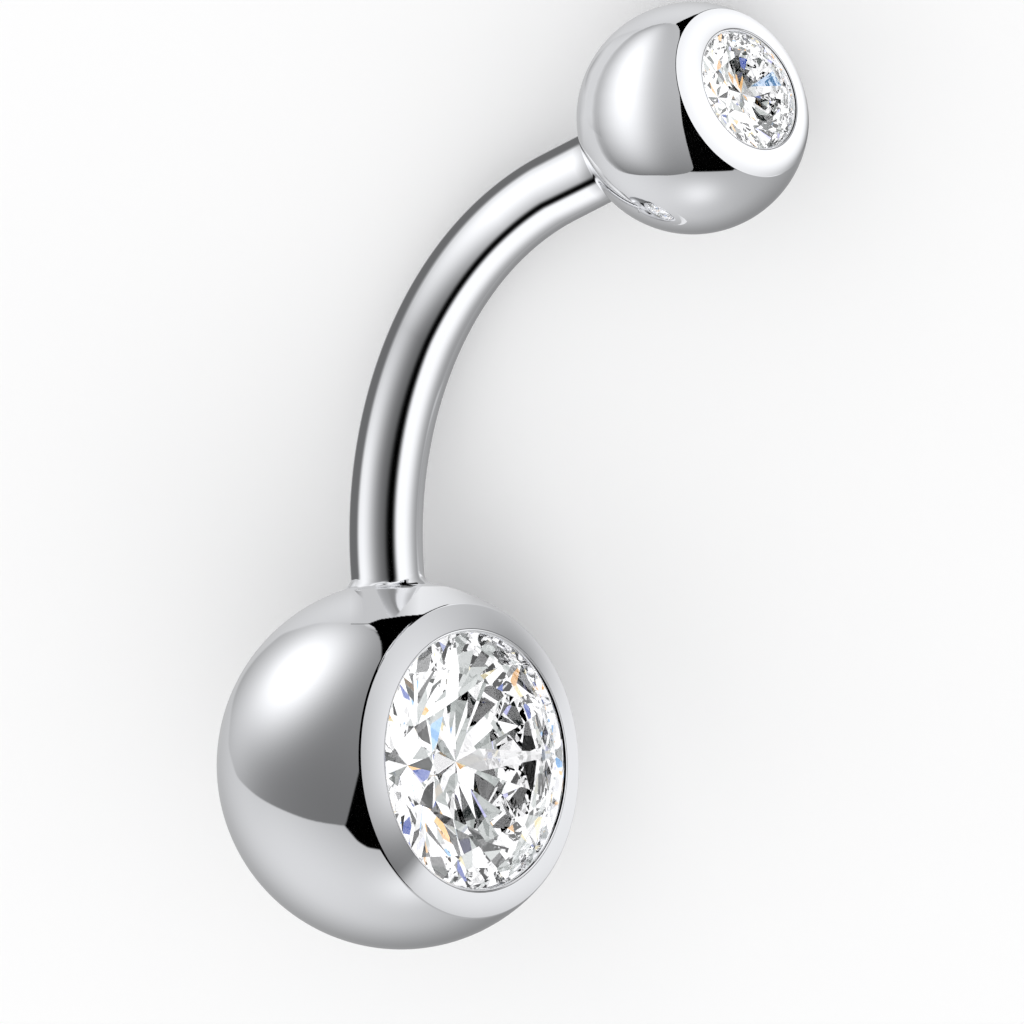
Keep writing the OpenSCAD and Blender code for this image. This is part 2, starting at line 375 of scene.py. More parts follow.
def setting_strips(ball, start):
    """The rim's strip, and then the groove for the girdle and the well under the stone."""
    stone_r, lip_r = ball["stone_d"] / 2, ball["lip_r"]
    groove_r, groove_top = stone_r + seat_gap, ball["girdle_z"] + seat_gap
    groove_floor = ball["girdle_z"] - ball["stone_d"] * girdle_share - seat_gap
    well_r, slope = stone_r * well_share, 2 * pavilion_share
    well_top = groove_floor - (groove_r - well_r) * slope
    well_floor = groove_floor - groove_r * slope
    corners = [(lip_r, groove_top), (groove_r, groove_top), (groove_r, groove_floor), (well_r, well_top),
               (well_r, well_floor), (0, well_floor)]
    rim = rim_strip(ball, start)
    rim.append((*corners[0], -1, 0))
    return [rim] + [line(p, q) for p, q in zip(corners, corners[1:])]


# %% [markdown]
# ## The solder
# The bar's foot stands in a small puddle of solder that climbs both the bar and the ball. After polishing
# it is bright but never quite even. A smooth hollow ring would look machined, so the ring's surface is
# pushed in and out a few hundredths of a millimetre by waves of different lengths around the bar.

# %% The solder's uneven ring
solder_rows, solder_steps = 28, 336
climb_high, climb_low, swell_high = 0.04, 0.02, 0.009
off_bar, into_bar = 0.002, 0.01


def solder_grid():
    a = turns_of(solder_steps)
    t = np.linspace(0, 1, solder_rows)[:, None]
    ball_side = math.pi + math.atan2(solder_z, solder_x)
    angle = ball_side + (math.pi - ball_side) * t
    climb = climb_high * np.sin(3 * a + 1.0) + climb_low * np.sin(7 * a + 0.4)
    lumps = 0.6 * np.sin(5 * a + 3 * t) + 0.6 * np.sin(11 * a - 4 * t + 1)
    swell = swell_high * np.sin(math.pi * t) ** 2 * (0.8 + lumps)
    radius = solder_x + solder_r * np.cos(angle) + swell + 0 * a
    height = solder_z + solder_r * np.sin(angle) + climb * t ** 2 + swell * 0.6
    radius = np.maximum(radius, np.where(t == 1, bar_r - into_bar, bar_r + off_bar))
    return np.stack([radius * np.cos(a), radius * np.sin(a), height + 0 * a], -1)


def grid_normals(points):
    """Normals of a grid from its own neighbours, for surfaces with no simple formula."""
    down = np.gradient(points, axis=0)
    round_ = np.roll(points, -1, axis=1) - np.roll(points, 1, axis=1)
    return np.cross(round_, down)


solder = solder_grid()
print("the solder climbs to between", *[round(f(solder[-1, :, 2]), 3) for f in (min, max)], "mm")

# %% [markdown]
# ## The bar
# The bar is wire bent round a former, so its section stays round. A curve with a bevel would do, but its
# joins with the solder and the thread are easier to place with rows: a circle is carried along a straight
# foot that starts inside the ball, the bend, and a straight end.

# %% The bar's line and its tube
foot_inside = 0.5
foot_rows, bend_rows, end_rows, bar_steps = 5, 110, 12, 160


def bar_rows():
    """Places along the bar, each with the direction towards the bend's middle."""
    straight = np.linspace(foot_z - foot_inside, foot_z, foot_rows)
    rows = [(np.array([0, 0, z]), np.array([1.0, 0, 0])) for z in straight]
    for a in np.linspace(0, bend_angle, bend_rows)[1:]:
        inward = np.array([math.cos(a), 0, -math.sin(a)])
        rows.append((bend_centre - bend_r * inward, inward))
    for s in np.linspace(0, end_len + plain_len, end_rows)[1:]:
        rows.append((bend_end + s * end_way, rows[-1][1]))
    return rows


def tube(skin):
    a = turns_of(bar_steps)[:, None]
    rows = bar_rows()
    out = np.array([np.cos(a) * inward + np.sin(a) * np.array([0, 1.0, 0]) for _, inward in rows])
    skin.grid(np.array([place for place, _ in rows])[:, None] + bar_r * out, out)


print("the bar has", len(bar_rows()), "rows")

# %% [markdown]
# ## The thread
# Beyond the ball's mouth the bar's end carries a fine screw thread, which shows when the small ball is off.
# A Screw modifier leaves an open ragged end, so the thread is a tube instead: each row is a circle whose
# radius follows a ridge that climbs one pitch a turn and fades out at both ends.

# %% The thread
thread_rows, thread_steps = 168, 96
ridge_steep, ridge_cut = 2.6, 0.25
fade_in, fade_out = 0.15, 0.3
thread_len = post_len - plain_len


def thread(skin):
    z = np.linspace(0, thread_len, thread_rows)[:, None]
    a = turns_of(thread_steps)
    phase = (z / thread_pitch - a / math.tau) % 1
    ridge = np.clip(ridge_steep * (0.5 - np.abs(phase - 0.5)) - ridge_cut, 0, 1)
    ridge = ridge * ridge * (3 - 2 * ridge)
    fade = np.clip(z / fade_in, 0, 1) * np.clip((thread_len - z) / fade_out, 0, 1)
    radius = root_r + (thread_r - root_r) * ridge * fade
    points = np.stack([radius * np.cos(a), radius * np.sin(a), z + 0 * a], -1)
    start = bend_end + (end_len + plain_len) * end_way
    skin.grid(points @ AT_TOP_BALL.T + start, grid_normals(points) @ AT_TOP_BALL.T)
    shoulder = [(bar_r, 0, 0, 1), (root_r, 0, 0, 1)]
    tip = [(root_r, thread_len, 0, 1), (0, thread_len, 0, 1)]
    skin.revolve([shoulder, tip], AT_TOP_BALL, start, thread_steps)


print("the thread makes", round(thread_len / thread_pitch, 1), "turns")

# %% [markdown]
# ## The lower piece
# On the real ring the ball, the solder and the bar are one piece of metal, and one CAD solid. They become
# one mesh here as well, so they move together and take one material.

# %% All the lower metal in one skin
metal = Skin()
metal.revolve(setting_strips(lower, -math.pi / 2), AT_LOWER_STONE)
metal.grid(solder, grid_normals(solder))
tube(metal)
thread(metal)
bar_piece = metal.build("bent_bar_and_ball")
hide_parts("bar_with_lower_ball")
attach(bar_piece, "bar")

# %% [markdown]
# ## The top ball
# The small ball is turned the same way, with a plain bore from below for the bar's end. Its rim is broader
# for its size and rounder, so it catches light all round like a soft ring.

# %% The top ball and its bore
mouth_rows = 10
mouth_x = bore_r + mouth_r
mouth_z = -math.sqrt((top["ball_r"] - mouth_r) ** 2 - mouth_x ** 2)
mouth_angle = angle_of((mouth_x, mouth_z))
bore_end = post_len + tip_gap - top["ball_r"]
bore = [(0, bore_end, 0, -1), (bore_r, bore_end, 0, -1)]
wall = [(bore_r, bore_end, -1, 0), (bore_r, mouth_z, -1, 0)]
mouth = arc((mouth_x, mouth_z), mouth_r, -math.pi, mouth_angle, mouth_rows)
screw_ball = Skin()
screw_ball.revolve([bore, wall, mouth] + setting_strips(top, mouth_angle), AT_TOP_BALL, top_centre)
top_piece = screw_ball.build("screw_on_ball")
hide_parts("top_ball")
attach(top_piece, "screw_ball")

# %% [markdown]
# ## Setting the stones in place
# Both stones have the same cut, at two sizes. Their faces stay flat shaded: a facet is a plane, and the
# hard edge between two planes is what makes a stone sparkle.

# %% Place the stones
def place_stone(name, ball, turn, centre, node, body):
    points = (brilliant_points(ball["stone_d"]) + [0, 0, ball["girdle_z"]]) @ turn.T + centre
    mesh = bpy.data.meshes.new(name)
    mesh.from_pydata(laid(points).tolist(), [], brilliant_facets())
    stone = new_object(name, mesh)
    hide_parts(node)
    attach(stone, body)
    print(name, "is", ball["stone_d"], "mm across")
    return stone


large_stone = place_stone("large_cut_stone", lower, AT_LOWER_STONE, np.zeros(3), "lower_stone", "bar")
small_stone = place_stone("small_cut_stone", top, AT_TOP_BALL, top_centre, "top_stone", "screw_ball")

# %% [markdown]
# ## A short way to write materials
# A procedural material is a small network of nodes. The helper below adds a node, sets its values and
# joins its inputs in one line, so that each material reads like a recipe. An input is named by its label,
# or as i0, i1 and so on where labels repeat.

# %% A helper for node networks
class Recipe:
    def __init__(self, tree):
        self.tree = tree
        tree.nodes.clear()

    def node(self, kind, settings=(), **inputs):
        made = self.tree.nodes.new("ShaderNode" + kind)
        for key, value in dict(settings).items():
            setattr(made, key, value)
        for key, value in inputs.items():
            by_number = key[0] == "i" and key[1:].isdigit()
            socket = made.inputs[int(key[1:]) if by_number else key.replace("_", " ")]
            if isinstance(value, bpy.types.NodeSocket):
                self.tree.links.new(value, socket)
            else:
                socket.default_value = value
        return made

    def math(self, operation, a, b=0.0):
        return self.node("Math", {"operation": operation}, i0=a, i1=b).outputs[0]

    def dot(self, a, b):
        return self.node("VectorMath", {"operation": "DOT_PRODUCT"}, i0=a, i1=tuple(b)).outputs["Value"]

    def ease(self, value, low, high, **ends):
        """A soft step between two values."""
        settings = {"interpolation_type": "SMOOTHSTEP"}
        return self.node("MapRange", settings, Value=value, From_Min=low, From_Max=high, **ends).outputs[0]

    def noise(self, where, scale, detail, **more):
        return self.node("TexNoise", {}, Vector=where, Scale=scale, Detail=detail, **more).outputs["Fac"]

    def blend(self, share, a, b):
        """a where share is 0, b where it is 1, for plain numbers."""
        return self.node("Mix", {"data_type": "FLOAT"}, i0=share, i2=a, i3=b).outputs[0]

    def colours(self, share, a, b):
        """The same for colours."""
        return self.node("Mix", {"data_type": "RGBA"}, i0=share, i6=a, i7=b).outputs[2]


def new_material(name):
    material = bpy.data.materials.new(name)
    material.use_nodes = True
    return material, Recipe(material.node_tree)


def give_finish(material, r, shader, pieces):
    r.tree.links.new(shader.outputs[0], r.node("OutputMaterial").inputs[0])
    for piece in pieces:
        piece.data.materials.append(material)
    print(material.name, "is on", [piece.name for piece in pieces])


# %% [markdown]
# ## Polished steel
# Body jewellery is tumbled and buffed to a mirror. Up close the mirror isn't perfect: the wheel leaves
# hair-fine lines and there are faint patches where the polish is a touch softer. One roughness for all of
# it would look like plastic chrome, so roughness and bump come from noise at two scales. The metal is
# hidden from light inside the stones, which would otherwise pick up dull grey from their seats.

# %% Polished steel
patch_scale, hair_scale, hair_stretch = 420.0, 2600.0, 22.0
bright, softer = (0.93, 0.935, 0.95, 1), (0.90, 0.905, 0.925, 1)
steel, r = new_material("polished_steel")
where = r.node("TexCoord").outputs["Object"]
soft = r.noise(where, patch_scale, 3.0, Roughness=0.55)
combed = {"Rotation": (0.3, 0.9, 0.5), "Scale": (1.0, 1.0, hair_stretch)}
hair = r.noise(r.node("Mapping", {}, Vector=where, **combed).outputs[0], hair_scale, 2.0)
gloss = r.node("MapRange", {}, Value=soft, From_Min=0.3, From_Max=0.75, To_Min=0.018, To_Max=0.05).outputs[0]
tone = r.colours(soft, bright, softer)
bump = r.node("Bump", {}, Strength=0.02, Distance=0.00001, Height=hair).outputs[0]
shader = r.node("BsdfPrincipled", {}, Base_Color=tone, Metallic=1.0, Roughness=gloss, Normal=bump)
give_finish(steel, r, shader, (bar_piece, top_piece))
bar_piece.visible_transmission = False
top_piece.visible_transmission = False

# %% [markdown]
# ## Clear stone
# Cut zirconia bends light strongly, so most of what enters through the crown is thrown back out of it.
# That needs a shader that lets light through. Its index, set straight on its socket, is a little above the
# real one, for chips as sharp as the photograph's. A trace of warm and cool tint keeps the stone from
# looking like water.

# %% Clear stone
gem_index, cool, warm = 2.45, (0.985, 0.99, 1.0, 1), (1.0, 0.995, 0.985, 1)
gem, r = new_material("clear_stone")
cloud = r.noise(r.node("TexCoord").outputs["Object"], 900.0, 2.0)
tint = r.colours(cloud, cool, warm)
shader = r.node("BsdfPrincipled", {}, Base_Color=tint, Roughness=0.0, IOR=gem_index, Transmission_Weight=1.0)
give_finish(gem, r, shader, (large_stone, small_stone))
large_stone.visible_diffuse = False
small_stone.visible_diffuse = False

# %% [markdown]
# ## The camera
# The photograph looks down on the lying ring at about 60 degrees, along the line that turns both stones
# half towards the viewer. It has almost no perspective, so it was taken from far off. A long lens at
# 0.74 m does the same. Its direction comes from the outlines of the balls and the bar, in the upright frame.

# %% The camera
photo_way, photo_up = (0.6912, -0.7227, 0.0033), (0.049, 0.0514, 0.9975)
to_camera = LAY @ photo_way
to_camera /= np.linalg.norm(to_camera)
right = np.cross(LAY @ photo_up, to_camera)
right /= np.linalg.norm(right)
up = np.cross(to_camera, right)

photo_px, px_per_mm = 1024, 46.31
lens, sensor = 1200.0, 36.0
distance = lens / sensor * photo_px / px_per_mm
ball_px, nearer_than_ball = (400.5, 766.35), 3.5
across, down = photo_px / 2 - ball_px[0], ball_px[1] - photo_px / 2
aim = PLACE + (across * right + down * up) / px_per_mm + nearer_than_ball * to_camera

camera_data = bpy.data.cameras.new("camera")
camera_data.lens, camera_data.sensor_width = lens, sensor
camera_data.clip_start, camera_data.clip_end = 0.05, 5.0
camera = new_object("camera", camera_data)
camera_turn = Matrix(np.stack([right, up, to_camera], 1).tolist())
camera_at = Vector((aim + to_camera * distance) * MM)
camera.matrix_world = Matrix.Translation(camera_at) @ camera_turn.to_4x4()
bpy.context.scene.camera = camera
print("camera looks down at", round(math.degrees(math.asin(to_camera[2])), 1), "degrees from",
      round(distance), "mm")

# %% [markdown]
# ## The studio
# A mirror has no look of its own: it shows the room. A photographer builds the room from cards, and here
# they are painted on the world's sphere: a white sheet at the right, a black opening for the camera and a
# large lit sheet at the left, over a pale table. Lamps and real panels would do as well, but then each edge
# on the ball has to be found by trial. A mirror ball makes it direct. It shows the whole room in one round
# picture, and at each place on it the ball's normal points halfway between a direction and the camera. So
# a card is drawn by its corners, right and up, as they show on a mirror ball of radius 1. Only reflections
# see these cards.

# %% Light by direction
world = bpy.data.worlds.new("studio")
bpy.context.scene.world = world
world.use_nodes = True
w = Recipe(world.node_tree)
sky = w.node("TexCoord").outputs["Generated"]
to_both = w.node("VectorMath", {"operation": "ADD"}, i0=sky, i1=tuple(to_camera)).outputs[0]
halfway = w.node("VectorMath", {"operation": "NORMALIZE"}, i0=to_both).outputs[0]
on_ball = w.node("CombineXYZ", {}, X=w.dot(halfway, right), Y=w.dot(halfway, up), Z=1.0).outputs[0]


def toward(azimuth, elevation):
    """A direction seen from the ring: azimuth 0 is where the camera stands and minus is left of it."""
    a, e = math.radians(azimuth), math.radians(elevation)
    return math.sin(a) * math.cos(e) * right + math.sin(e) * up + math.cos(a) * math.cos(e) * to_camera


def glow(azimuth, elevation, power, strength):
    """A soft pool of light."""
    near = w.math("MAXIMUM", w.dot(sky, toward(azimuth, elevation)), 0.0)
    return w.math("MULTIPLY", w.math("POWER", near, power), strength)


def spot(azimuth, elevation, size, soft=1):
    """1 within size degrees of a direction and 0 outside."""
    wide, narrow = [math.cos(math.radians(size + more)) for more in (soft, -soft)]
    return w.ease(w.dot(sky, toward(azimuth, elevation)), wide, narrow)


def add(*values):
    total = values[0]
    for value in values[1:]:
        total = w.math("ADD", total, value)
    return total


# %% A card by its corners on the mirror ball
def card(corners, soft=0.006, rounding=0.02):
    """1 inside a card and 0 outside it. Its corners go round against the clock."""
    inside = None
    for a, b in zip(corners, corners[1:] + corners[:1]):
        long = math.hypot(b[0] - a[0], b[1] - a[1])
        edge = ((a[1] - b[1]) / long, (b[0] - a[0]) / long, (a[0] * b[1] - a[1] * b[0]) / long)
        depth = w.dot(on_ball, edge)
        if inside is not None:
            depth = w.node("Math", {"operation": "SMOOTH_MIN"}, i0=inside, i1=depth, i2=rounding).outputs[0]
        inside = depth
    return w.ease(inside, -soft, soft)


# %% The table, and the right sheet with its dark gaps
table = add(0.30, glow(-110, -40, 2, 0.45), glow(10, -65, 3, 0.12), glow(30, -80, 30, 0.3),
            glow(100, -50, 3, 0.15), glow(180, 35, 2, 0.55))
right_sheet = add(1.15, glow(71, -19, 20, -1.0), glow(100, 32, 16, -0.7))
right_card = card([(0.30, -0.22), (0.63, -0.38), (0.74, -0.60), (0.90, 0.37), (0.42, 0.75), (0.22, 0.68),
                   (0.19, 0.54)], soft=0.04, rounding=0.1)
room = w.blend(right_card, table, right_sheet)
gap_size = 8
for azimuth, elevation in ((92.6, 4), (98, 26.6)):
    room = w.blend(spot(azimuth, elevation, gap_size), room, 0.0)

# %% The black opening, and the left sheet
opening = card([(-0.30, 0.60), (-0.50, 0.0), (-0.305, -0.325), (-0.232, -0.411), (-0.179, -0.444),
                (-0.114, -0.457), (-0.02, -0.467), (0.182, -0.465), (0.34, -0.455), (0.42, -0.40),
                (0.42, 0.72), (0.331, 0.823), (0.161, 0.823), (0.03, 0.812), (-0.10, 0.802),
                (-0.179, 0.768)], rounding=0.01)
room = w.blend(opening, room, 0.0)
left_sheet = add(0.24, glow(-98, 42, 9, 1.15), glow(-140, 15, 6, 0.4), glow(-45, -30, 3, -0.06))
left_card = card([(-0.297, -0.327), (-0.245, -0.13), (-0.179, 0.145), (-0.143, 0.33), (-0.10, 0.62),
                  (-0.115, 0.70), (-0.165, 0.752), (-0.245, 0.772), (-0.454, 0.772), (-0.65, 0.708),
                  (-0.781, 0.59), (-0.873, 0.459), (-0.92, 0.33), (-0.9385, 0.093), (-0.89, -0.068),
                  (-0.80, -0.158), (-0.69, -0.224), (-0.49, -0.30)], rounding=0.03)
room = w.blend(left_card, room, left_sheet)

# %% [markdown]
# ## Darker outlines
# The photograph's metal darkens towards its outlines, as if the far side of the room were hung with grey
# cloth. Near the outline the halfway direction lies across the camera's line, so a soft step on it dims
# the room there, a little more at the lower right than at the upper left.

# %% Dim the far side of the room
dim_from, dim_full, dim_share = 0.56, 0.16, 0.35
card_white = (0.985, 0.99, 1.0, 1)
edge_on = w.ease(w.dot(halfway, to_camera), dim_full, dim_from, To_Min=1.0, To_Max=0.0)
more_at_lower_right = w.dot(halfway, 0.06 * right - 0.12 * up)
darker = w.math("MULTIPLY", edge_on, w.math("ADD", more_at_lower_right, dim_share))
room = w.math("MULTIPLY", room, w.math("SUBTRACT", 1.0, darker))
red, green = [w.math("MULTIPLY", room, share) for share in card_white[:2]]
shade = w.node("CombineColor", {}, i0=red, i1=green, i2=room)
seen_in_metal = w.node("Background", {}, Color=shade.outputs[0], Strength=1.0).outputs[0]

# %% [markdown]
# ## Cards held near the metal
# The far cards can't do everything. A black line and a dark edge run along the whole bar in the photograph,
# though it bends through 73 degrees, and the small ball has its own tall sheet at the left. A photographer
# bends narrow cards and holds them near the metal. To place one, follow the camera's ray to the metal, let
# it bounce, and go on for the card's reach. Only reflections see the cards, and only from the metal's side,
# so that a card for one ball doesn't show in the other.

# %% Cards that stand where the camera's rays bounce to
def bounce(normal, at, reach):
    """Where the camera's ray goes from the metal at a point with that normal, in the lying frame."""
    facing = normal @ to_camera
    return at + reach * (2 * facing * normal - to_camera)


def paint_card(piece, tones, covers):
    """Stores the numbers on the card's points, with a material that reads them."""
    for name, values in (("tone", tones), ("cover", covers)):
        stored = piece.data.attributes.new(name, "FLOAT", "POINT").data
        stored.foreach_set("value", [float(value) for value in values])
    material, r = new_material(piece.name)
    tone, cover = [r.node("Attribute", {"attribute_name": name}).outputs["Fac"] for name in ("tone", "cover")]
    light = r.node("Emission", {}, Color=card_white, Strength=tone).outputs[0]
    clear = r.node("BsdfTransparent").outputs[0]
    front = r.math("SUBTRACT", 1.0, r.node("NewGeometry").outputs["Backfacing"])
    both = r.node("MixShader", {}, i0=r.math("MULTIPLY", cover, front), i1=clear, i2=light)
    r.tree.links.new(both.outputs[0], r.node("OutputMaterial").inputs[0])
    piece.data.materials.append(material)
    print(piece.name, "has", len(piece.data.polygons), "faces")


def near_card(name, rows, metal_at):
    """Rows of (point, tone, cover): the tone is the card's light, and a cover below 1 lets the room through.
    The card shows only on the side of the point metal_at."""
    steps = len(rows[0])
    points, tones, covers = zip(*[entry for row in rows for entry in row])
    faces = [[i * steps + j, i * steps + j + 1, (i + 1) * steps + j + 1, (i + 1) * steps + j]
             for i in range(len(rows) - 1) for j in range(steps - 1)]
    corner, along, across, _ = [points[k] for k in faces[len(rows) // 2 * (steps - 1) + steps // 2]]
    if np.cross(along - corner, across - corner) @ (metal_at - corner) < 0:
        faces = [face[::-1] for face in faces]
    mesh = bpy.data.meshes.new(name)
    mesh.from_pydata([tuple(point * MM) for point in points], [], faces)
    piece = new_object(name, mesh)
    paint_card(piece, tones, covers)
    piece.visible_camera = piece.visible_diffuse = piece.visible_transmission = piece.visible_shadow = False
    piece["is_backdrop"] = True


# %% [markdown]
# ## The bar's two cards
# A wide card follows the bar and carries the light flank, the black line and the white flank. A narrow one
# gives the dark edge at the left. Both are placed by the turn round the bar that they show at, so they bend
# with it. They come closer at the foot and at the top, to keep out of the balls' reflections.

# %% Cards beside the bar
bar_card_rows = 90
reach_along = ((0.0, 0.3, 0.95, 1.25), (0.14, 1.0, 1.0, 0.4))
reach_across = ((-112, -30), (0.3, 1.0))


def beside_bar(name, turns, tones, fade, reach, first, last):
    """tones takes the turn round the bar, in degrees, and the share of the way from its foot to its top."""
    covers = np.clip(np.minimum(turns - turns[0], turns[-1] - turns) / fade, 0, 1)
    rows, middles = [], []
    for a in np.linspace(first, last, bar_card_rows):
        close = np.interp(a, *reach_along)
        bend = min(max(a, 0.0), bend_angle)
        inward = np.array([math.cos(bend), 0, -math.sin(bend)])
        way = np.array([math.sin(bend), 0, math.cos(bend)])
        middle = LAY @ (bend_centre - bend_r * inward + (a - bend) * bend_r * way) + PLACE
        way = LAY @ way
        front = to_camera - way * (way @ to_camera)
        front /= np.linalg.norm(front)
        side = np.cross(way, front)
        row = []
        for turn, cover in zip(turns, covers):
            b = math.radians(turn) / 2
            normal = math.cos(b) * front + math.sin(b) * side
            nearer = np.interp(turn, *reach_across)
            at = bounce(normal, middle + bar_r * normal, reach * close * nearer)
            row.append((at, tones(turn, a / last), cover))
        rows.append(row)
        middles.append(middle)
    near_card(name, rows, middles[len(middles) // 2])


# %% The light on them, from the foot to the top
stages = (0, 0.2, 0.45, 0.75, 1)
line_places, line_widths = (15, 14, 13, 26, 33), (17, 16, 12, 12, 12)
glow_places, glow_widths = (-80, -80, -76, -52, -50), (40, 40, 46, 68, 68)
glow_strengths = (0.95, 0.85, 0.52, 1.1, 1.1)
# At the top end the card's light drops: a painted shade where the bar runs into the small ball.
end_starts, end_long, end_shade = 0.955, 0.03, 0.45


def bar_light(turn, share):
    line_at, line_wide, glow_at, glow_wide, strength = [
        np.interp(share, stages, values)
        for values in (line_places, line_widths, glow_places, glow_widths, glow_strengths)]
    left_flank = 0.1 + strength * math.exp(-((turn - glow_at) / glow_wide) ** 2)
    right_flank = 0.3 + 0.8 * math.exp(-(max(0, turn - line_at - 42) / 32) ** 2)
    black_line = math.exp(-((turn - line_at) / line_wide) ** 4)
    # Painted shade: the light falls off over the last stretch before the small ball.
    end = min(1.0, max(0.0, (share - end_starts) / end_long))
    return (left_flank if turn < line_at else right_flank) * (1 - black_line) * (1 - end_shade * end)


def plain(value):
    """The same light or cover all over a card."""
    return lambda *place: value


beside_bar("bar_sheet", np.linspace(-112, 122, 60), bar_light, 12, 1.6, -0.03, 1.50)
beside_bar("bar_edge", np.linspace(-165, -92, 12), plain(0.16), 14, 0.25, -0.02, 1.50)

# %% [markdown]
# ## The small ball's three cards
# Far cards look the same in every ball, but in the photograph the small ball shows other shapes than the
# large one: a taller lit sheet at the left, a pale surround outside it and a black arc over its rim. So it
# gets near cards of its own, each given by its outline on the ball: height, left and right, in shares of
# the ball's radius.

# %% Cards beside a ball
def beside_ball(name, middle, ball_r, outline, tones, covers, reach, rows=60, steps=24):
    """tones and covers take s from left to right and t from top to bottom."""
    height, left, right_ = np.array(outline).T
    made = []
    for t in np.linspace(0, 1, rows):
        v = height[0] + (height[-1] - height[0]) * t
        row = []
        for s in np.linspace(0, 1, steps):
            u = np.interp(-v, -height, left) * (1 - s) + np.interp(-v, -height, right_) * s
            normal = u * right + v * up + math.sqrt(max(0.0, 1 - u * u - v * v)) * to_camera
            row.append((bounce(normal, middle + ball_r * normal, reach), tones(s, t), covers(s, t)))
        made.append(row)
    near_card(name, made, middle)


# %% The small ball's sheet
small_ball_at = LAY @ top_centre + PLACE
sheet_outline = [(0.812, -0.24, -0.19), (0.79, -0.36, -0.13), (0.75, -0.46, -0.112), (0.719, -0.52, -0.113),
                 (0.65, -0.605, -0.116), (0.56, -0.69, -0.118), (0.45, -0.765, -0.12), (0.33, -0.82, -0.12),
                 (0.2, -0.857, -0.117), (0.05, -0.873, -0.105), (-0.07, -0.866, -0.09),
                 (-0.2, -0.833, -0.062), (-0.3, -0.79, -0.035), (-0.37, -0.745, -0.015),
                 (-0.445, -0.665, 0.006), (-0.478, -0.585, -0.05), (-0.497, -0.4, -0.29)]
stripe_at, stripe_wide, stripe_strong = 0.37, 0.26, 0.9


def sheet_light(s, t):
    stripe = math.exp(-((s - stripe_at) / stripe_wide) ** 2) * (1 - t ** 3.5) * (1 - (1 - t) ** 8)
    ground = 0.38 + 0.17 * s * (1 - t ** 2) - 0.17 * t ** 4 - 0.12 * math.exp(-(s / 0.08) ** 2)
    return ground + stripe_strong * stripe


beside_ball("small_ball_sheet", small_ball_at, top["ball_r"], sheet_outline, sheet_light,
            lambda s, t: min(1.0, s / 0.06), 3.0)

# %% Its pale surround and its black arc
surround_outline = [(0.84, -0.5, -0.2), (0.8, -0.58, -0.2), (0.7, -0.69, -0.45), (0.6, -0.78, -0.6),
                    (0.4, -0.895, -0.75), (0.2, -0.955, -0.8), (0.0, -0.975, -0.82), (-0.2, -0.955, -0.8),
                    (-0.32, -0.925, -0.78)]
arc_outline = [(0.915, 0.15, 0.40), (0.891, 0.03, 0.34), (0.841, -0.08, 0.24), (0.805, -0.15, 0.16),
               (0.77, -0.112, 0.1), (0.66, -0.117, 0.02), (0.5, -0.12, -0.06)]
beside_ball("small_ball_surround", small_ball_at, top["ball_r"], surround_outline, plain(0.72),
            lambda s, t: min(1.0, s / 0.25, t / 0.2, (1 - t) / 0.3), 3.3)
beside_ball("small_ball_shade", small_ball_at, top["ball_r"], arc_outline, plain(0.0), plain(1.0), 2.0)

# %% [markdown]
# ## The card over the bar's foot
# Just under the bar's foot the large ball shows the bar itself, as a grey V, with a pale field round it and
# the thick end of the black arc below. One small card close to the ball carries all of it. The V is partly
# the bar's real reflection and partly painted: inside it the card's pale light covers about half of that
# reflection, and the card's outline gives the V its edges. It is a fine grid, with a rule for each part of
# the picture: u is right and v is up, in shares of the ball's radius.

# %% A small card over the foot of the bar
foot_up, foot_left, foot_high, foot_wide = 0.97, -0.27, 0.29, 0.67
foot_reach, foot_card_rows, foot_card_steps = 0.12, 100, 130
arc_top = ((-0.179, -0.114, 0.004, 0.161), (0.768, 0.793, 0.81, 0.823))
arc_bottom = ((-0.175, -0.145, -0.115, -0.1), (0.767, 0.752, 0.71, 0.62))
card_right = ((0.66, 0.754, 0.826, 0.872, 0.885), (-0.04, 0.038, 0.143, 0.248, 0.6))
v_left, v_right = ((0.8, 0.944, 0.97), (-0.048, -0.114, -0.125)), ((0.8, 0.97), (-0.048, 0.096))
# Inside the V the card's pale light covers about half of the bar's real reflection: a painted reflection laid
# over the real one.
v_cover, v_fade = 0.45, 0.02


def foot_place(s, t):
    return foot_left + foot_wide * s, foot_up - foot_high * t


def foot_light(s, t):
    u, v = foot_place(s, t)
    pale = 0.6 + 0.3 * min(1.0, max(0.0, (u + 0.02) / 0.12))
    return pale if v > np.interp(u, *arc_top) else 0.0


def foot_cover(s, t):
    u, v = foot_place(s, t)
    if u > np.interp(v, *card_right):
        return 0.0
    if v <= np.interp(u, *arc_top):
        return 1.0 if v > np.interp(u, *arc_bottom) else 0.0
    beside_v = max(np.interp(v, *v_left) - u, u - np.interp(v, *v_right)) / v_fade
    return min(1.0, max(v_cover, beside_v)) * min(1.0, s / 0.1, (1 - s) / 0.45)


foot_sides = (foot_left, foot_left + foot_wide)
foot_outline = [(foot_up, *foot_sides), (foot_up - foot_high, *foot_sides)]
beside_ball("foot_card", PLACE, lower["ball_r"], foot_outline, foot_light, foot_cover, foot_reach,
            foot_card_rows, foot_card_steps)

# %% [markdown]
# ## Light for the rims
# A rim is a narrow ring that leans outwards, so it shows a part of the room that no other surface shows. A
# collar of card in front of it lights each stretch of it by its turn: mostly white on the small ball, and
# grey with soft dark stretches on the large one.

# %% A collar of card in front of each rim
collar_rows, collar_step, collar_past = 21, 3, (-0.35, 1.2)


def bump(turn, at, width):
    off = (turn - at + 180) % 360 - 180
    return math.exp(-(off / width) ** 2)


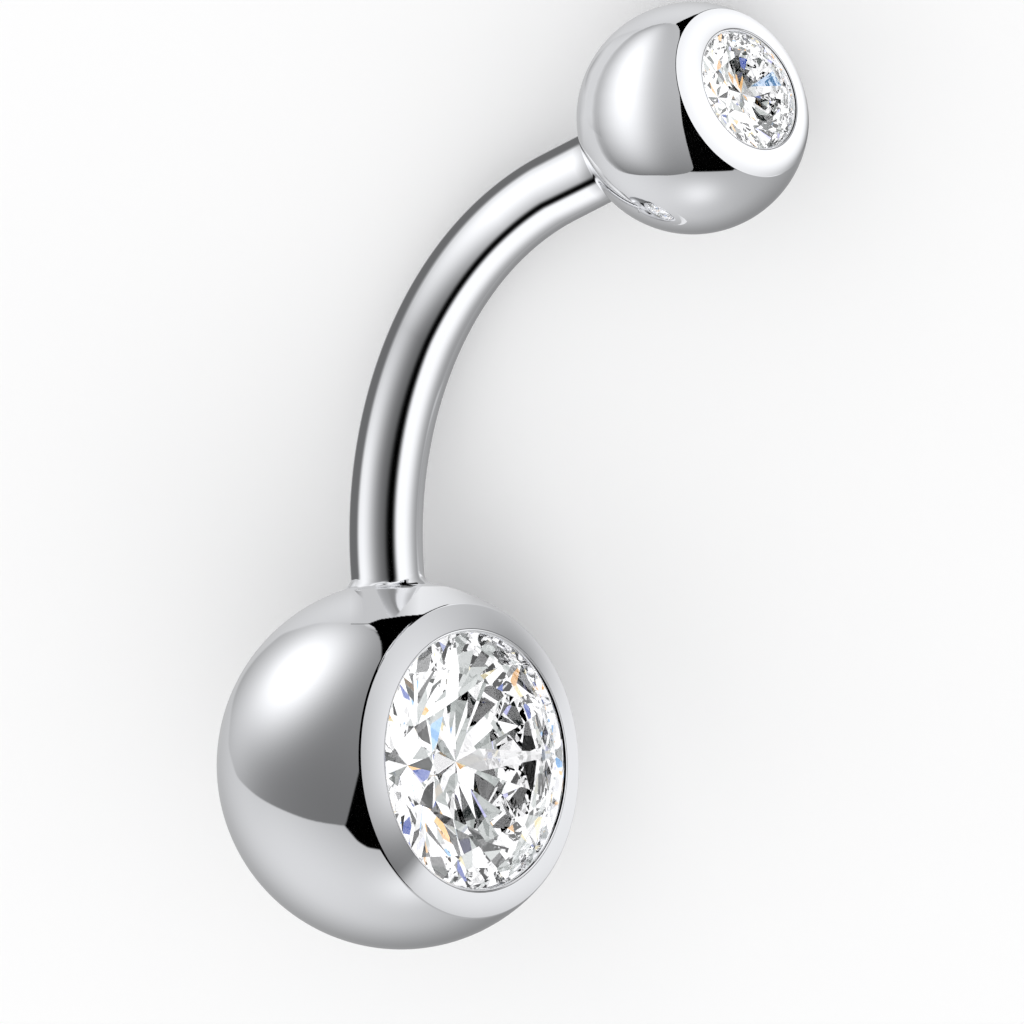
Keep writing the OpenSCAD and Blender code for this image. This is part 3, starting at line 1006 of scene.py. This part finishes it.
def collar(name, ball, turn, centre, tone, reach):
    """tone(turn, s) lights it at each turn, from the bottom by way of the right, and share s inwards."""
    outer, inner = rim_ends(ball)
    dome_c, _ = rim_dome(ball)
    first, last = angle_of(outer, dome_c), angle_of(inner, dome_c)
    rows = []
    for s in np.linspace(*collar_past, collar_rows):
        tilt, on_rim = first + (last - first) * s, min(max(s, 0), 1)
        radius, height = outer + (inner - outer) * on_rim
        row = []
        for degrees in range(0, 361, collar_step):
            x, y = math.cos(math.radians(degrees)), math.sin(math.radians(degrees))
            normal = LAY @ turn @ [math.cos(tilt) * x, math.cos(tilt) * y, math.sin(tilt)]
            at = LAY @ (turn @ [radius * x, radius * y, height] + centre) + PLACE
            row.append((bounce(normal, at, reach), tone(degrees, on_rim), 1.0))
        rows.append(row)
    near_card(name, rows, LAY @ centre + PLACE)


def lower_rim_light(turn, s):
    shaded = bump(turn, 312, 22) if turn < 312 else bump(turn, 312, 6)
    left_side = 0.36 * bump(turn, 165, 40) + 0.3 * bump(turn, 140, 25) * s
    outer_edge = 0.36 * bump(turn, 265, 45) * (1 - s) + 0.24 * bump(turn, 0, 40) * (1 - s) ** 2
    return 0.90 - left_side - (0.52 + 0.12 * s) * shaded - outer_edge


def top_rim_light(turn, s):
    edge = math.exp(-(s / 0.3) ** 2)
    return 1.16 - edge * (0.16 + 0.8 * bump(turn, 55, 50)) - 0.45 * bump(turn, 200, 50) * s ** 4


collar("lower_collar", lower, AT_LOWER_STONE, np.zeros(3), lower_rim_light, 2.0)
collar("top_collar", top, AT_TOP_BALL, top_centre, top_rim_light, 1.6)

# %% [markdown]
# ## What the stones see
# Each facet of a stone throws one small piece of the room back, so a room of many small light and dark
# pieces gives the sharp black, white and coloured chips of a well cut stone. The colours stand for fire,
# the splitting of white light, which this renderer's single index of refraction doesn't make.

# %% Chips of light and fire
moved = w.node("VectorMath", {"operation": "ADD"}, i0=sky, i1=(3.1, 1.7, 5.2)).outputs[0]
chip_scale, fire_scale, fire_above = 2.3, 8.0, 0.93


def cells(scale):
    """Two random numbers for each cell of the sky, the same all over the cell."""
    colour = w.node("TexVoronoi", {"feature": "F1"}, Vector=moved, Scale=scale).outputs["Color"]
    parts = w.node("SeparateColor", {}, i0=colour)
    return parts.outputs[0], parts.outputs[1]


def steps_of(number, stops):
    """A colour for each span of the number, with hard changes between them."""
    ramp = w.node("ValToRGB", {}, i0=number)
    ramp.color_ramp.interpolation = "CONSTANT"
    for k, (at, colour) in enumerate(stops):
        stop = ramp.color_ramp.elements[k] if k < 2 else ramp.color_ramp.elements.new(at)
        stop.position, stop.color = at, (*colour, 1)
    return ramp.outputs[0]


large, _ = cells(chip_scale)
light = steps_of(large, [(0.0, (1.5, 1.5, 1.52)), (0.46, (0.62, 0.66, 0.65)), (0.60, (0.2, 0.22, 0.21)),
                         (0.70, (0.015, 0.02, 0.02)), (0.84, (0.0, 0.0, 0.0))])
small, hue = cells(fire_scale)
fire = steps_of(hue, [(0.0, (0.03, 0.10, 0.55)), (0.2, (0.30, 0.65, 1.15)), (0.45, (1.3, 0.75, 0.3)),
                      (0.7, (1.3, 1.15, 0.7)), (0.85, (0.75, 0.75, 1.2))])
colour = w.colours(w.math("GREATER_THAN", small, fire_above), light, fire)

# %% [markdown]
# ## Who sees which room
# The metal sees the cards, the stones see the chips, and the floor gets plain even light. The Light Path
# node tells the rays apart. A ray that leaves a stone only after many bounces finds white, which keeps the
# stone's deepest parts from breaking into specks.

# %% Join the world's three looks
path = w.node("LightPath").outputs
many_bounces, late_white, even_strength = 8.5, (1.3, 1.3, 1.32, 1), 1.05
wash = w.noise(sky, 5.0, 1.0)
strength = w.node("MapRange", {}, Value=wash, From_Min=0.3, From_Max=0.7, To_Min=0.75, To_Max=1.15).outputs[0]
colour = w.colours(w.math("GREATER_THAN", path["Ray Depth"], many_bounces), colour, late_white)
seen_in_stone = w.node("Background", {}, Color=colour, Strength=strength).outputs[0]
even = w.node("Background", {}, Color=(1, 1, 1, 1), Strength=even_strength).outputs[0]
seen = w.node("MixShader", {}, i0=path["Is Transmission Ray"], i1=seen_in_metal, i2=seen_in_stone).outputs[0]
mirrored = w.math("MAXIMUM", path["Is Glossy Ray"], path["Is Transmission Ray"])
both = w.node("MixShader", {}, i0=mirrored, i1=even, i2=seen).outputs[0]
w.tree.links.new(both, w.node("OutputWorld").inputs[0])
cycles = bpy.context.scene.cycles
cycles.max_bounces, cycles.glossy_bounces, cycles.transmission_bounces = 24, 16, 24
print("the studio has", len(world.node_tree.nodes), "nodes")

# %% [markdown]
# ## The floor
# The ring lies on a white sheet of card. Seen in the metal, the sheet would be a second, empty white room,
# so the floor hides from reflections and the painted table shows there instead.

# %% The floor
bpy.ops.mesh.primitive_plane_add(size=8.0, location=(0, 0, 0))
floor = bpy.context.object
floor.name = "floor"
floor.visible_glossy = False
floor.visible_transmission = False
white_card, r = new_material("white_card")
grain = r.noise(r.node("TexCoord").outputs["Object"], 90.0, 4.0)
paper = r.colours(grain, (0.955, 0.955, 0.958, 1), (0.97, 0.97, 0.97, 1))
shader = r.node("BsdfPrincipled", {}, Base_Color=paper, Roughness=0.6, Specular_IOR_Level=0.2)
give_finish(white_card, r, shader, (floor,))
floor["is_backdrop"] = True

# %% [markdown]
# ## Measuring and finishing
# The Standard view keeps white card white. The two boxes are printed, the dressed ring's beside the CAD
# model's.

# %% Colour, sizes and finish
bpy.context.scene.view_settings.view_transform = "Standard"
visual_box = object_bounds()
for name, box in (("CAD", cad_box), ("visual", visual_box)):
    print(name, "box in mm", [[round(x / MM, 3) for x in p] for p in box])
